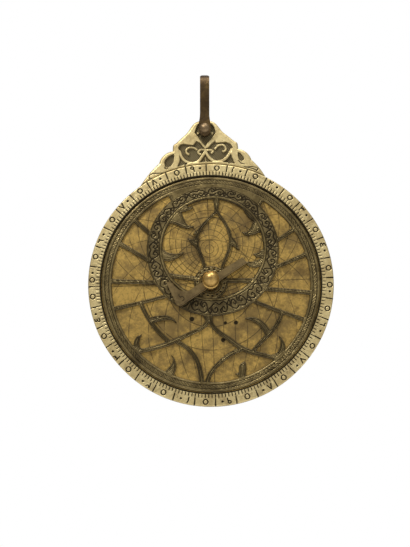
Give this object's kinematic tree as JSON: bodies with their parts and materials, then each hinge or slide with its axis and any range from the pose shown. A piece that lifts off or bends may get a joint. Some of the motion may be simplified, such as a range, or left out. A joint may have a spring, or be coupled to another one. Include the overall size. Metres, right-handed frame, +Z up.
{
  "type": "astrolabe",
  "caption": "Hanging planispheric astrolabe: mater with limb and throne, shackle, plates, turning rete, pin, wedge and sighting rule.",
  "frame": {"origin": "under the crown of the shackle, where a ring or cord bears, on the mid plane of the mater", "axes": "+Z up, +Y away from the viewer of the front face, +X to that viewer's right"},
  "size_m": [0.1, 0.0268, 0.1395],
  "materials": {
    "mater": "aged satin brass",
    "limb": "pale rubbed brass with blackened engraving",
    "throne": "pale rubbed brass with dark sunk ground",
    "shackle": "dark bronze patina, rubbed on the crown",
    "shackle_pin": "reddish worn brass",
    "plate": "golden brass with dark engraved lines",
    "rete": "olive-grey aged brass",
    "pin": "polished gold-coloured brass",
    "horse": "brown aged brass",
    "alidade": "aged brass"
  },
  "bodies": {
    "mater": {"mater_back_plate": "mater", "limb_ring": "limb", "limb_rivets": "mater", "plate_key": "mater", "throne": "throne", "throne_rivets": "mater", "latitude_plate_1": "plate", "latitude_plate_2": "plate", "latitude_plate_3": "plate", "latitude_plate_4": "plate", "latitude_plate_5": "plate"},
    "shackle": {"bail": "shackle", "bail_pin": "shackle_pin"},
    "rete": {"rete": "rete"},
    "pin": {"centre_pin": "pin"},
    "horse": {"horse": "horse"},
    "alidade": {"alidade": "alidade", "sight_vane_left": "alidade", "sight_vane_right": "alidade", "vane_rivets": "alidade"}
  },
  "joints": [
    {"name": "shackle_swing", "type": "hinge", "parent": "mater", "child": "shackle", "pos_m": [0, 0, -0.0215], "axis": [0, 1, 0], "range_deg": [-105, 105]},
    {"name": "rete_turn", "type": "hinge", "parent": "mater", "child": "rete", "pos_m": [0, 0, -0.0868], "axis": [0, 1, 0], "continuous": true},
    {"name": "pin_turn", "type": "hinge", "parent": "mater", "child": "pin", "pos_m": [0, 0, -0.0868], "axis": [0, 1, 0], "continuous": true},
    {"name": "horse_slide", "type": "slide", "parent": "pin", "child": "horse", "axis": [-0.8526, 0, -0.5225], "range_m": [0, 0.0199]},
    {"name": "alidade_turn", "type": "hinge", "parent": "mater", "child": "alidade", "pos_m": [0, 0, -0.0868], "axis": [0, 1, 0], "continuous": true}
  ]
}
